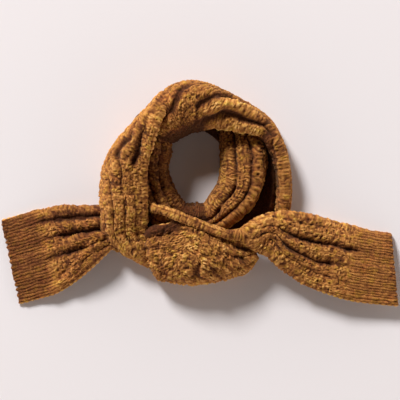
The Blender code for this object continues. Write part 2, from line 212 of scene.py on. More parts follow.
LEFT_STRAND = (
    (-0.058, 0.176, -128, 0.012, 0.079, 0.093, 0.012, 0.046),
    (-0.08, 0.143, -124, 0.018, 0.088, 0.0995, 0.0175, 0.036),
    (-0.105, 0.105, -114, 0.029, 0.091, 0.1, 0.0262, 0.006),
    (-0.1268, 0.0648, -98, 0.037, 0.078, 0.088, 0.0375, 0.006),
    (-0.1359, 0.0198, -91, 0.042, 0.062, 0.075, 0.041, 0.012),
    (-0.135, -0.027, -88, 0.041, 0.05, 0.067, 0.04, 0.035),
    (-0.1296, -0.0684, -74, 0.037, 0.038, 0.048, 0.041, 0.016),
    (-0.108, -0.1, -52, 0.024, 0.028, 0.042, 0.022, 0.01),
    (-0.084, -0.122, -38, 0.014, 0.018, 0.03, 0.014, 0.008),
)

FRONT_WRAP = (
    (-0.09, -0.0918, 14, 0.022, 0.025, 0.034, 0.04, 0.01),
    (-0.082, -0.0936, 10, 0.033, 0.038, 0.053, 0.05, 0.009),
    (-0.0612, -0.1026, -4, 0.048, 0.05, 0.0595, 0.0535, 0.008),
    (-0.0252, -0.1026, -8, 0.058, 0.056, 0.068, 0.06, 0.008),
    (0.0108, -0.108, -3, 0.05, 0.057, 0.07, 0.054, 0.008),
    (0.0468, -0.1098, 3, 0.04, 0.051, 0.062, 0.042, 0.01),
    (0.0792, -0.1116, 10, 0.028, 0.044, 0.053, 0.029, 0.014),
    (0.1026, -0.1044, 15, 0.012, 0.04, 0.047, 0.012, 0.028),
)

# The seventh and eighth section are wider and lower than in the solid, so that no floor shows beside the bulge
RIGHT_END = (
    (-0.0882, -0.0225, -17, 0.0085, 0.047, 0.058, 0.0085, 0.047),
    (-0.0576, -0.0315, -19, 0.0085, 0.057, 0.068, 0.0085, 0.057),
    (-0.0306, -0.0414, -21, 0.0085, 0.0615, 0.0725, 0.0085, 0.0615),
    (-0.0036, -0.0522, -22, 0.0085, 0.063, 0.074, 0.0085, 0.063),
    (0.0234, -0.063, -20, 0.0085, 0.063, 0.074, 0.0085, 0.063),
    (0.0504, -0.0711, -12, 0.009, 0.061, 0.0725, 0.009, 0.061),
    (0.0756, -0.0738, 0, 0.012, 0.04, 0.07, 0.012, 0.034),
    (0.099, -0.0684, 3, 0.023, 0.045, 0.067, 0.033, 0.028),
    (0.1314, -0.0702, -15, 0.0385, 0.037, 0.056, 0.038, 0.04),
    (0.1674, -0.0864, -20, 0.0525, 0.033, 0.05, 0.052, 0.027),
    (0.2178, -0.1044, -16, 0.0598, 0.01, 0.037, 0.064, 0.0255),
    (0.2538, -0.1152, -13, 0.0615, 0.005, 0.0325, 0.0662, 0.027),
    (0.2862, -0.1251, -8, 0.064, 0.003, 0.029, 0.0664, 0.024),
    (0.351, -0.1341, 5, 0.066, 0.0025, 0.0245, 0.066, 0.02),
)

# The grooves between the ribs: a station, where the four grooves run, as shares of the width, and how deep each is.
# The creases: half width, depth, below zero on a ridge, and the line as pairs of station and share.
LEFT_GROOVES = (
    (0, 0.125, 0.35, 0.575, 0.8, 0.3, 0.3, 0.3, 0.3),
    (1, 0.145, 0.355, 0.59, 0.83, 0.9, 0.8, 0.6, 0.4),
    (1.7, 0.17, 0.38, 0.62, 0.83, 1.4, 1.3, 0.9, 0.5),
    (2.4, 0.17, 0.42, 0.69, 0.84, 1.6, 1.4, 0.6, 0.3),
    (3.3, 0.22, 0.54, 0.76, 0.9, 1.8, 1.5, 0.6, 0.3),
    (5, 0.22, 0.52, 0.75, 0.88, 1.4, 1.4, 1, 1),
)
LEFT_CREASES = (
    (0.0048, 0.003, ((1.2, 0.155), (1.7, 0.173), (2.35, 0.17), (3.4, 0.225))),
    (0.0042, 0.003, ((1.9, 0.395), (2.4, 0.415), (3.4, 0.545))),
    (0.006, 0.0022, ((1.1, 0.6), (1.9, 0.63), (2.6, 0.72))),
    (0.0075, -0.0036, ((0.9, 0.965), (1.7, 0.9), (2.4, 0.77), (3.3, 0.67))),
    (0.0035, 0.0018, ((1.2, 0.885), (1.8, 0.8), (2.4, 0.69))),
)
OUTER_GROOVES = (
    (3, 0.28, 0.58, 0.8, 0.92, 0.5, 0.5, 0.5, 0.5),
    (4.6, 0.26, 0.62, 0.82, 0.93, 0.7, 0.5, 0.4, 0.4),
    (5.3, 0.25, 0.7, 0.85, 0.94, 1.2, 0.7, 0.4, 0.4),
    (6, 0.215, 0.68, 0.86, 0.94, 1.5, 1.0, 0.4, 0.4),
    (6.7, 0.27, 0.6, 0.85, 0.94, 1.6, 1.4, 0.4, 0.4),
    (7.4, 0.325, 0.61, 0.84, 0.94, 1.5, 1.6, 0.4, 0.4),
    (8.1, 0.38, 0.56, 0.8, 0.93, 0.9, 1.6, 0.7, 0.4),
    (8.8, 0.3, 0.51, 0.715, 0.88, 0.2, 0.7, 1.4, 0.5),
    (9.2, 0.26, 0.45, 0.635, 0.8, 0.2, 0.3, 1.6, 0.5),
    (9.6, 0.22, 0.4, 0.56, 0.76, 0.2, 0.3, 1.6, 0.5),
    (11, 0.18, 0.34, 0.5, 0.7, 0.2, 0.3, 1.0, 0.5),
)
OUTER_CREASES = (
    (0.005, 0.0036, ((9.62, 0.56), (9.21, 0.635), (8.83, 0.715), (8.55, 0.77))),
    (0.0045, 0.0036, ((8.3, 0.52), (8.17, 0.55), (7.54, 0.61), (6.71, 0.595), (6.33, 0.655))),
    (0.0045, 0.0034, ((7.9, 0.36), (7.38, 0.325), (6, 0.215), (5.25, 0.25))),
    (0.005, 0.003, ((8.45, 0.36), (8.35, 0.45), (8.2, 0.54))),
    (0.005, -0.0022, ((7.9, 0.47), (7.2, 0.45), (6.4, 0.42))),
)
INNER_GROOVES = (
    (0, 0.12, 0.32, 0.56, 0.8, 0.4, 0.5, 0.5, 0.5),
    (4, 0.13, 0.45, 0.62, 0.84, 0.3, 0.6, 0.6, 0.6),
    (5.8, 0.14, 0.57, 0.68, 0.86, 0.15, 1.1, 0.9, 0.4),
    (7, 0.14, 0.45, 0.665, 0.86, 0.1, 0.9, 0.6, 0.25),
    (8.2, 0.13, 0.44, 0.67, 0.87, 0.1, 0.6, 0.5, 0.2),
    (9.5, 0.11, 0.37, 0.66, 0.9, 0.1, 0.5, 0.5, 0.2),
    (12, 0.1, 0.37, 0.655, 0.92, 0.1, 0.5, 0.4, 0.2),
)
INNER_CREASES = (
    (0.0026, 0.0016, ((5.6, 0.59), (7, 0.45), (8.2, 0.44), (9.5, 0.37), (11.2, 0.37))),
    (0.0026, 0.0016, ((6, 0.685), (7.5, 0.665), (8.4, 0.67), (10.2, 0.655))),
    (0.008, 0.0014, ((6.3, 0.93), (7.3, 0.9), (8.3, 0.92))),
)
STRAND_GROOVES = (
    (0, 0.2, 0.36, 0.56, 0.78, 0.3, 0.3, 0.3, 0.3),
    (1.6, 0.18, 0.36, 0.56, 0.78, 0.4, 0.5, 0.3, 0.3),
    (2.3, 0.155, 0.31, 0.53, 0.76, 0.8, 1.2, 0.4, 0.3),
    (2.6, 0.14, 0.43, 0.62, 0.8, 1.1, 1.5, 0.5, 0.3),
    (2.95, 0.155, 0.45, 0.62, 0.8, 1.1, 1.5, 0.6, 0.3),
    (3.4, 0.19, 0.34, 0.56, 0.78, 0.7, 0.8, 0.7, 0.3),
    (4.1, 0.18, 0.36, 0.53, 0.76, 0.4, 0.5, 0.6, 0.3),
    (5.2, 0.19, 0.42, 0.66, 0.83, 0.35, 0.4, 0.5, 0.3),
    (6.3, 0.19, 0.45, 0.66, 0.83, 0.35, 0.4, 0.4, 0.3),
    (8, 0.18, 0.42, 0.62, 0.8, 0.3, 0.3, 0.3, 0.3),
)
STRAND_CREASES = (
    (0.0052, 0.0034, ((3.05, 0.45), (2.6, 0.43), (2.3, 0.31), (1.9, 0.33), (1.5, 0.36))),
    (0.006, 0.003, ((2.95, 0.415), (2.5, 0.38))),
    (0.0052, 0.0032, ((3.2, 0.2), (2.85, 0.15), (2.4, 0.165), (2, 0.18), (1.75, 0.18))),
    (0.005, 0.0028, ((3.15, 0.17), (2.8, 0.135))),
    (0.005, -0.0026, ((3.15, 0.24), (3.7, 0.14), (4.3, 0.07))),
    (0.0075, -0.0022, ((0.9, 0.1), (1.7, 0.09), (2.4, 0.05))),
)
WRAP_GROOVES = (
    (0, 0.125, 0.35, 0.575, 0.8, 0.8, 0.5, 0.4, 0.4),
    (3.5, 0.14, 0.37, 0.59, 0.81, 0.4, 0.2, 0.2, 0.25),
    (7, 0.125, 0.35, 0.575, 0.8, 0.5, 0.5, 0.5, 0.5),
)
WRAP_CREASES = (
    (0.003, 0.0026, ((2.6, 0.075), (4.2, 0.085), (5.8, 0.085), (6.9, 0.11))),
    (0.005, 0.0036, ((3.55, 0.7), (3.8, 0.5))),
    (0.005, 0.0036, ((4.4, 0.56), (4.75, 0.8))),
    (0.0045, 0.0034, ((4.75, 0.5), (5.45, 0.37), (6.3, 0.5))),
    (0.004, 0.003, ((5.5, 0.16), (6.5, 0.2), (7, 0.45))),
    (0.0055, -0.0026, ((0.9, 0.1), (1, 0.4), (1.7, 0.8))),
    (0.005, 0.0026, ((1.35, 0.2), (1.5, 0.45), (2.2, 0.75))),
)
RIGHT_GROOVES = (
    (0, 0.035, 0.08, 0.14, 0.4, 0.4, 0.2, 0.2, 0.2),
    (5, 0.035, 0.08, 0.15, 0.45, 0.35, 0.15, 0.15, 0.2),
    (6.3, 0.09, 0.24, 0.45, 0.64, 0.08, 0.1, 0.3, 0.15),
    (7.7, 0.12, 0.3, 0.46, 0.65, 0.12, 0.22, 0.6, 0.3),
    (8.8, 0.13, 0.385, 0.615, 0.75, 0.25, 0.8, 0.7, 0.3),
    (9.9, 0.14, 0.37, 0.65, 0.8, 0.25, 0.9, 0.8, 0.25),
    (11, 0.13, 0.345, 0.585, 0.8, 0.25, 0.9, 0.5, 0.25),
    (12, 0.125, 0.325, 0.565, 0.79, 0.2, 0.5, 0.2, 0.2),
    (13, 0.125, 0.31, 0.56, 0.79, 0.1, 0.1, 0.1, 0.1),
)
RIGHT_CREASES = (
    (0.0052, 0.0022, ((7.8, 0.455), (8.9, 0.385), (9.9, 0.37), (11, 0.345), (11.8, 0.33))),
    (0.0056, 0.0022, ((7.9, 0.66), (8.7, 0.62), (9.4, 0.72), (10.2, 0.635), (10.7, 0.585))),
    (0.009, -0.0026, ((6.3, 0.66), (7.5, 0.86), (8.7, 0.88))),
)

# The knitting charts, with a row for each rib: places across it from 0 to 1, and the kind of the column between each
# two. A chain is a column of two-legged leaves. Bars, the longer teeth and the ropes, which are bars bunched into
# lumps, are rounded stitches across the rib's side. The lead is the narrow strand that crosses the front.
PLAIN_CHART = (
    (0, "chain", 0.46, "bars", 0.94),
    (0.04, "bars", 0.4, "chain", 0.62, "teeth", 0.97),
    (0.03, "teeth", 0.4, "chain", 0.62, "teeth", 0.97),
    (0.04, "bars", 0.48, "chain", 0.96),
    (0.02, "bars", 0.28, "chain", 0.56, None, 0.58, "chain", 0.86, "bars", 1),
)
TURN_CHART = (
    (0, "chain", 0.26, "bars", 0.56, "chain", 0.96),
    (0.04, "teeth", 0.4, "chain", 0.68, "bars", 0.97),
    (0.04, "ropes", 0.5, "chain", 0.96),
    (0.04, "ropes", 0.54, "chain", 0.96),
    (0.03, "bars", 0.5, "chain", 1),
)
BRAID_CHART = (
    (0, "chain", 1),
    (0.02, "chain", 0.52, "bars", 0.96),
    (0.04, "chain", 0.5, "bars", 0.96),
    (0.04, "teeth", 0.62, "chain", 0.98),
    (0.02, "bars", 0.5, "chain", 1),
)
ROPE_CHART = (
    (0, "chain", 0.4, "ropes", 0.97),
    (0.03, "ropes", 0.55, "chain", 0.97),
    (0.03, "ropes", 0.6, "chain", 0.97),
    (0.03, "chain", 0.42, "ropes", 0.97),
    (0.03, "ropes", 0.52, "chain", 1),
)
LEAD_CHART = ((0, "chain", 1),) * 5
# For both ends and the inner left, the outer turn, the inner right, the left strand and the bulge
FLAT_KNIT = Knitting(PLAIN_CHART, 0.0092, 0.25, 0.48, (0.0092, 0.0072), 55)
TURN_KNIT = Knitting(TURN_CHART, 0.0094, 0.2, 0.42, (0.0092, 0.0074), 55)
BRAID_KNIT = Knitting(BRAID_CHART, 0.0096, 0.1, 0.08, (0.009, 0.0072), 45)
ROPE_KNIT = Knitting(ROPE_CHART, 0.0096, 0.35, 0.5, (0.0096, 0.0076), 60)
BULKY_KNIT = Knitting(PLAIN_CHART, 0.0088, 0.2, 0.95, (0.0112, 0.0108), 90)

# Painted shade where the wool lies in shadow, and above 1 painted light where it lies in light: first and last
# station, from share to share, and the shade it keeps
LEFT_PAINTED_SHADING = ((-0.5, 1.3, -0.5, 1.5, 0.46), (1.3, 5.5, -0.5, 1.5, 0.73))
OUTER_PAINTED_SHADING = ((7.6, 11.5, -0.5, 0.42, 0.25), (8, 11.5, 0.6, 1.5, 0.82), (2.2, 5.2, -0.5, 0.3, 0.42),
              (4.8, 7.7, -0.5, 0.33, 1.5), (5.5, 8.4, 0.28, 0.66, 1.25), (-0.5, 7, -0.5, 1.5, 0.92))
INNER_LEFT_PAINTED_SHADING = ((-0.5, 5.5, -0.5, 1.5, 0.7), (3.4, 5.9, -0.5, 1.5, 0.55))
INNER_RIGHT_PAINTED_SHADING = ((4.5, 6.2, -0.5, 1.5, 0.35), (5.9, 12.5, -0.5, 1.5, 0.86), (6, 9, 0.78, 1.5, 1.8))
STRAND_PAINTED_SHADING = ((-0.5, 1.8, -0.5, 1.5, 1.05), (4.5, 8.5, -0.5, 1.5, 1.1))
WRAP_PAINTED_SHADING = ((0.4, 3.0, -0.5, 0.18, 0.24), (-0.5, 2.8, -0.5, 1.5, 0.86))
RIGHT_PAINTED_SHADING = ((11.5, 13.8, -0.5, 1.5, 0.61),)


def spline(rows, stations):
    """The table's columns at the stations, which count in rows, on a Catmull-Rom curve through the rows."""
    table = np.array(rows)
    first = np.clip(stations.astype(int), 0, len(table) - 2)
    share = (stations - first)[:, None]
    padded = np.vstack([2 * table[0] - table[1], table, 2 * table[-1] - table[-2]])
    before, start, end, after = (padded[first + step] for step in range(4))
    cubic = 3 * (start - end) + after - before
    square = 2 * before - 5 * start + 4 * end - after
    return start + 0.5 * share * (end - before + share * (square + share * cubic))


def steepness(sections):
    """How steep each section's two sides are, from 0 on flat cloth to 1, left and right."""
    left, left_z, crest, right, right_z = (column[:, None] for column in sections.T[3:])
    return [np.minimum(STEEPNESS * (crest - z) / reach, 1) for z, reach in ((left_z, left), (right_z, right))]


def arches(sections, inset):
    """Each section's curve from its left edge to its right: two quarter ovals that meet at the crest. The inset
    draws in the top by its whole size, and each side by as much of it as the side is steep."""
    left, left_z, crest, right, right_z = (column[:, None] for column in sections.T[3:])
    turn = np.linspace(0, np.pi, FINE_STEPS)[None]
    out = np.abs(np.cos(turn)) ** SQUARENESS
    up = np.abs(np.sin(turn)) ** SQUARENESS
    on_left = turn < np.pi / 2
    reach = np.where(on_left, left, right)
    edge_z = np.where(on_left, left_z, right_z)
    steep = np.where(on_left, *steepness(sections))
    sideways = np.where(on_left, 1, -1) * (reach - inset * steep) * out
    return sideways, edge_z + (np.maximum(crest - inset, edge_z) - edge_z) * up


def lengths(sideways, height):
    """The length along each section's curve, from its left edge to each fine step."""
    steps = np.hypot(np.diff(sideways), np.diff(height))
    return np.hstack([np.zeros((len(steps), 1)), np.cumsum(steps, axis=1)])


def fold_depths(sections):
    """How deep the ribs fold in each section: a strip drawn narrower than it was knitted folds into waves whose
    length makes up the difference."""
    drawn = lengths(*arches(sections, 0))[:, -1:]
    slack = np.maximum(CLOTH_WIDTH / drawn - 1, 0)
    pitch = drawn * RIB_PITCH
    deepest = np.minimum(DEEPEST_FOLD, STEEPEST_FOLD * pitch)
    return np.minimum(RIB_RELIEF + 2 / np.pi * pitch * np.sqrt(slack), deepest)


def middle(sections, shares, relief):
    """The middle of the cloth, as points by section and by share of the way across, and each section's length."""
    sideways, height = arches(sections, WALL / 2 + relief)
    along = lengths(sideways, height)
    across = shares * along[:, -1:]
    sideways = np.array([np.interp(*row) for row in zip(across, along, sideways)])
    height = np.array([np.interp(*row) for row in zip(across, along, height)])
    heading = np.radians(sections[:, 2:3])
    x = sections[:, 0:1] - np.sin(heading) * sideways - ORIGIN[0]
    y = sections[:, 1:2] + np.cos(heading) * sideways - ORIGIN[1]
    return np.stack([x, y, height], axis=2), along[:, -1:]


def unit(vectors):
    """The vectors at length 1."""
    return vectors / np.maximum(np.linalg.norm(vectors, axis=-1, keepdims=True), 1e-9)


def resample(values, shares):
    """Values at even shares of each row, read at that row's own shares."""
    even = np.linspace(0, 1, values.shape[1])
    layers = [[np.interp(at, even, row) for at, row in zip(shares, values[:, :, k])] for k in range(3)]
    return np.stack(layers, axis=2)


def ease(values):
    """0 below 0, 1 above 1 and a smooth step between them."""
    values = np.clip(values, 0, 1)
    return values * values * (3 - 2 * values)


def soft_noise(x, y, seed):
    """Smooth noise from -1 to 1: random values at the corners of unit squares, blended with eased weights."""
    table = np.random.default_rng(seed).uniform(-1, 1, (LATTICE, LATTICE))
    column, row = np.floor(x).astype(int), np.floor(y).astype(int)
    across, up = ease(x - column), ease(y - row)

    def corner(right, above):
        return table[(column + right) % LATTICE, (row + above) % LATTICE]

    low = corner(0, 0) * (1 - across) + corner(1, 0) * across
    high = corner(0, 1) * (1 - across) + corner(1, 1) * across
    return low * (1 - up) + high * up


def patchy(along, across, size, seed):
    """Soft noise whose patches have the length and the width that size gives."""
    return soft_noise(along / size[0], across / size[1], seed)


def even_stations(rows, span, step):
    """Stations that lie the step apart along the crest, and their distances from the first."""
    fine = np.linspace(*span, CREST_STEPS)
    sections = spline(rows, fine)
    crest = sections[:, [0, 1, 5]]
    along = np.append(0, np.cumsum(np.linalg.norm(np.diff(crest, axis=0), axis=1)))
    distances = np.linspace(0, along[-1], int(along[-1] / step) + 2)
    return np.interp(distances, along, fine), distances


def groove_table(grooves, stations):
    """The shares of the edges and the four grooves, and the grooves' depths, at each station."""
    table = np.array(grooves)
    columns = [np.interp(stations, table[:, 0], column) for column in table[:, 1:].T]
    zero, one = np.zeros(len(stations)), np.ones(len(stations))
    shares = np.stack([zero, *columns[:4], one], axis=1)
    depths = np.stack([one, *columns[4:], one], axis=1)
    return shares, depths


def rib_columns():
    """For each column of points: its rib, and its place across that rib from 0 to 1."""
    rib = np.concatenate([np.full(count, at) for at, count in enumerate(COLUMNS)] + [[len(COLUMNS) - 1]])
    place = np.concatenate([np.arange(count) / count for count in COLUMNS] + [[1.0]])
    return rib.astype(int), place


def rib_swell(rib, place):
    """0 in the grooves and 1 on the crests: a power of a half sine, of which the edge ribs keep only a part."""
    start = np.where(rib == 0, EDGE_RIBS[0], 0.0)
    end = np.where(rib == len(COLUMNS) - 1, EDGE_RIBS[1], 1.0)
    return np.clip(np.sin(np.pi * (start + (end - start) * place)), 0, 1) ** RIB_POWER


def crease_depth(creases, stations, distance, shares, drawn):
    """How far the creases lower each point: each crease's depth times a bell curve of the distance to its line.
    Distances are in metres along the strip and across it."""
    along, across = distance[:, None], shares * drawn
    total = np.zeros(shares.shape)
    for width, depth, line in creases:
        line = np.array(line)
        at = np.interp(line[:, 0], stations, distance)
        side = line[:, 1] * np.interp(line[:, 0], stations, drawn[:, 0])
        nearest = np.full(shares.shape, np.inf)
        for x, y, run, rise in zip(at, side, np.diff(at), np.diff(side)):
            share = np.clip(((along - x) * run + (across - y) * rise) / (run * run + rise * rise), 0, 1)
            nearest = np.minimum(nearest, np.hypot(along - x - share * run, across - y - share * rise))
        total += depth * np.exp(-((nearest / width) ** 2))
    return total


def chain(across, count, worth):
    """A column of leaves in pairs that meet in a V, with a pit between each two pairs: each leg is a dome across
    the column, cut along it by slanting lobes. across runs from -1 to 1, and count counts the stitches."""
    leg = np.abs(across)
    dome = np.clip(np.sin(np.pi * (0.1 + 0.88 * leg)), 0, 1) ** 0.6
    lobe = np.abs(np.sin(np.pi * (CHAIN_RATE * count - CHAIN_SLANT * leg)))
    pit = np.exp(-((leg / 0.34) ** 2)) * np.abs(np.cos(np.pi * CHAIN_RATE * count)) ** 3
    return dome * (0.25 + 0.75 * lobe * worth) * (1 - 0.85 * pit)


def bars(across, count, worth):
    """Rounded bars across the side of a rib: a dome across, cut along it by wide slits, one for each stitch."""
    dome = (1 - np.clip(np.abs(across), 0, 1) ** 2.5) ** 0.7
    lobe = np.abs(np.sin(np.pi * (count + 0.16 * across)))
    return dome * (0.06 + 0.94 * lobe * worth)


def bunched(across, count, worth):
    """Fine bars bunched into lumps, with a dark waist between each two lumps."""
    lump = np.abs(np.sin(np.pi * (count / 2.1 + 0.12 * across))) ** 0.6
    return bars(across, 1.6 * count, 0.6 + 0.4 * worth) * (0.3 + 0.7 * lump)


def columns_of(chart):
    """Each column of stitches in the chart, as its rib, start, kind and end."""
    for rib, row in enumerate(chart):
        for start, kind, end in zip(row[::2], row[1::2], row[2::2]):
            if kind:
                yield rib, start, kind, end


def stitches(rib, place, distance, chart, stitch, seed):
    """The relief of the chart's stitches, from 0 to 1, over all rows and columns. Each kind has a shape and how many
    of it make a stitch. Each stitch has its own worth and each column its own start, and noise shifts the rows."""
    relief = np.zeros((len(distance), len(rib)))
    rows = distance[:, None]
    chance = np.random.default_rng(seed)
    kinds = {"chain": (chain, 1.0), "bars": (bars, 1.5), "teeth": (bars, 1.0), "ropes": (bunched, 1.0)}
    for at, start, kind, end in columns_of(chart):
        on = (rib == at) & (place >= start) & (place <= end)
        across = 2 * (place[on] - start) / (end - start) - 1
        shift = chance.uniform(0, 1)
        waver = 0.6 * soft_noise(rows / 0.018, 0.6 * across[None] + 7.3 * shift, seed + 11)
        waver = waver + 0.34 * soft_noise(rows / 0.0075, 1.2 * across[None] + 3.1 * shift, seed + 12)
        shape, rate = kinds[kind]
        count = rate * rows / stitch + shift + waver
        worths = chance.uniform(0.08, 1.0, MOST_STITCHES) ** 0.7
        worth = worths[np.floor(count).astype(int) % MOST_STITCHES]
        relief[:, on] = shape(across[None], count, worth)
    return relief


def cuff_stitches(shares, distance, seed):
    """The relief of 1 x 1 rib, from 0 to 1: narrow twisted cords, unevenly apart and each of its own height."""
    rows = distance[:, None]
    phase = shares * CUFF_RIBS + 0.3 * soft_noise(shares * CUFF_RIBS * 0.6, rows / 0.013, seed)
    phase = phase + 0.16 * soft_noise(shares * CUFF_RIBS * 1.7, rows / 0.005, seed + 2)
    across = 2 * (phase - np.floor(phase)) - 1
    dome = np.clip(1 - (np.abs(across) / 0.88) ** 2, 0, 1) ** 0.5
    lobe = np.abs(np.sin(np.pi * (rows / ROW - 0.5 * across + 0.4 * soft_noise(shares * 40, rows / 0.01, seed + 3))))
    cord = 0.5 + 0.5 * soft_noise(np.floor(phase), rows / 0.012, seed + 1)
    beads = soft_noise(shares * 62, rows / 0.0026, seed + 4)
    return np.clip(0.13 + dome * (0.43 + 0.44 * lobe) * (0.55 + 0.4 * cord) * (1 + 0.3 * beads), 0, 1)


def tufts(along, across, size, lean, seed):
    """Uneven tufts of parallel strands. Each tuft stands round a point of a jittered lattice and ends where the
    next nearest point is as near; its strands lean from straight across by an angle of its own."""
    chance = np.random.default_rng(seed)
    jitter = chance.uniform(-0.38, 0.38, (2, LATTICE, LATTICE))
    worth = chance.uniform(0.4, 1.0, (LATTICE, LATTICE))
    angle = np.radians(chance.uniform(-lean, lean, (LATTICE, LATTICE)))
    phase = chance.uniform(0, 1, (LATTICE, LATTICE))
    x, y = along / size[0], across / size[1]
    column, row = np.floor(x).astype(int), np.floor(y).astype(int)
    nearest, second = np.full(x.shape, 9.0), np.full(x.shape, 9.0)
    height, stripe = np.zeros(x.shape), np.zeros(x.shape)
    for right in (-1, 0, 1):
        for above in (-1, 0, 1):
            at, up = (column + right) % LATTICE, (row + above) % LATTICE
            run = x - column - right - 0.5 - jitter[0, at, up]
            rise = y - row - above - 0.5 - jitter[1, at, up]
            reach = np.hypot(run, rise)
            closer = reach < nearest
            second = np.where(closer, nearest, np.minimum(second, reach))
            nearest = np.where(closer, reach, nearest)
            height = np.where(closer, worth[at, up], height)
            over = run * size[0] * np.cos(angle[at, up]) + rise * size[1] * np.sin(angle[at, up])
            strand = np.abs(np.sin(np.pi * (over / STRAND + phase[at, up]))) ** 0.8
            stripe = np.where(closer, strand, stripe)
    bump = np.clip((second - nearest) / 0.5, 0, 1) ** 0.7
    gap = 0.66 + 0.34 * soft_noise(2.3 * x, 2.3 * y, seed + 1)
    return (1 - gap * (1 - bump)) * height * (0.3 + 0.7 * stripe)


def knit_relief(rib, place, shares, drawn, distance, knitting, lead, seed):
    """The relief of the wide ribs' knitting, from 0 to 1: the chart's stitches, crossed by threads where columns
    meet, mixed with tufts, then broken up by beads and pits, and stronger or weaker from place to place. lead is
    how far each row has the chains of the narrow lead instead."""
    along, across = distance[:, None], shares * drawn
    charted = stitches(rib, place, distance, knitting.chart, knitting.stitch, seed)
    crossing = 0.36 * ease(1.6 * patchy(along, across, THREADS, seed + 21))
    charted = np.maximum(charted, crossing)
    shift = 0.003 * patchy(along, across, SHIFTS, seed + 2)
    tufted = tufts(along + shift, across - shift, knitting.tuft_size, knitting.lean, seed + 1)
    clumped = knitting.tufts > 0.6
    if clumped:
        clumps = tufts(along + shift, across - shift, CLUMP_SIZE, knitting.lean, seed + 41)
        tufted = np.clip(1.75 * np.sqrt(tufted * clumps) - 0.14, 0, 1)
    mix = knitting.tufts + 0.25 * patchy(along, across, MIXTURE, seed + 3)
    mix = ease(mix) if clumped else np.clip(mix, 0, 1)
    if lead.any():
        twin = stitches(rib, place, distance, LEAD_CHART, LEAD_STITCH, seed + 31)
        charted = charted * (1 - lead) + twin * lead
        mix = mix * (1 - 0.8 * lead)
    relief = charted * (1 - mix) + tufted * mix
    pits = ease(3.0 * patchy(along, across, PITS, seed + 22) - 0.95)
    beads = ease(0.6 + 1.35 * patchy(along, across, BEADS, seed + 23))
    beaded = min(0.36 + 0.36 * knitting.tufts, 0.58)
    relief = relief * (1.02 - beaded + beaded * beads)
    return relief * (1 - 0.85 * pits) * (0.98 + 0.22 * patchy(along, across, STRENGTH, seed + 4))


def lumps(rib, distance, amount, seed):
    """How far each rib keeps its swell along its way: 1 on its lumps, less by the amount in the waists between."""
    rows = distance[:, None]
    start = np.random.default_rng(seed).uniform(0, 9, len(COLUMNS))[rib][None]
    waver = soft_noise(rows / LUMP_WAVER, start, seed + 1)
    waist = 1 - np.abs(np.sin(np.pi * (rows / LUMP_LENGTH + start + 0.35 * waver))) ** 0.8
    return 1 - 0.5 * amount * waist


def closed_quads(rows, around):
    """The faces between each ring of points and the next; every ring is closed."""
    first = np.arange(rows - 1)[:, None] * around
    at = np.arange(around)[None]
    beside = (at + 1) % around
    return np.stack([first + at, first + beside, first + around + beside, first + around + at], axis=2).reshape(-1, 4)


def in_scene(name, data):
    """A new object that holds the data, linked to the scene."""
    made = bpy.data.objects.new(name, data)
    bpy.context.scene.collection.objects.link(made)
    return made


def knit_piece(name, mesh, shade, uv):
    """A smooth object of the mesh, with the painted shade of the stitches at its points and a map of the cloth."""
    corners = np.empty(len(mesh.loops), dtype=np.int32)
    mesh.loops.foreach_get("vertex_index", corners)
    mesh.attributes.new("shade", "FLOAT", "POINT").data.foreach_set("value", shade.astype(np.float32))
    mesh.uv_layers.new(name="cloth").data.foreach_set("uv", uv[corners].astype(np.float32).ravel())
    mesh.shade_smooth()
    return in_scene(name, mesh)


def cast_on(points, shares, distance, ends, seed):
    """Thins the strip towards its open ends, and moves their edge out in scallops, one for each two cuff ribs.
    ends says how deep they are at the start and at the end. Gives the points, the share of the thickness that each
    row keeps, and the share of the shade that each point keeps under the painted shade between the scallops."""
    thin = np.ones(len(distance))
    kept = np.ones(shares.shape)
    for at_start, depth in zip((True, False), ends):
        if depth:
            from_end = distance if at_start else distance[-1] - distance
            thin = np.minimum(thin, np.sqrt(1 - np.clip(1 - from_end / END_THINS, 0, 0.96) ** 2))
            ahead = unit(np.gradient(points, axis=0)) * (-1 if at_start else 1)
            waver = 0.8 * soft_noise(shares * 9, 0 * shares, seed)
            wave = np.abs(np.sin(np.pi * shares * CUFF_RIBS / 2 + waver)) ** 0.7
            fade = np.exp(-from_end[:, None] / END_SCALLOPS)
            points = points + ahead * (depth * (wave - 0.6) * fade)[:, :, None]
            # Painted shade between the scallops, fading away from the end
            kept = kept * (1 - 0.8 * (1 - wave) * np.exp(-from_end[:, None] / END_PAINTED_SHADE))
    return points, thin, kept


def painted_shading(stations, shares, painted_areas):
    """How much of its shade each point keeps under the painted shade and painted light: all of it outside those areas,
    which have soft edges.
    """
    kept = np.ones(shares.shape)
    long, wide = SOFT_EDGES
    for first, last, left, right, keep in painted_areas:
        along = ease((stations - first) / long) * ease((last - stations) / long)
        across = ease((shares - left) / wide) * ease((right - shares) / wide)
        kept = kept * (1 - (1 - keep) * along[:, None] * across)
    return kept


def edge_rolls(points, normal, sideways, height, thin, scallop, steep):
    """The two round selvedges: half ovals from the outer face to the inner, scalloped by the stitches. On flat
    cloth they reach less far sideways."""
    turns = np.arange(1, EDGE_TURNS + 1)[None] / (EDGE_TURNS + 1)
    around = np.pi * turns
    rolls = []
    for edge, out, side_steep in ((-1, 1, steep[1]), (0, -1, steep[0])):
        up = (height[:, edge, None] * (1 - turns) + WALL / 2 * turns) * np.cos(around)
        side = WALL / 2 + (0.25 + 0.45 * side_steep) * np.maximum(height[:, edge, None] - WALL / 2, 0)
        side = side * np.sin(around) * (1 + (scallop[:, None] - 1) * np.sin(around))
        up, side = (up * thin[:, None])[:, :, None], (side * thin[:, None])[:, :, None]
        rolls.append(points[:, edge, None] + normal[:, edge, None] * up + out * sideways[:, edge, None] * side)
    return rolls


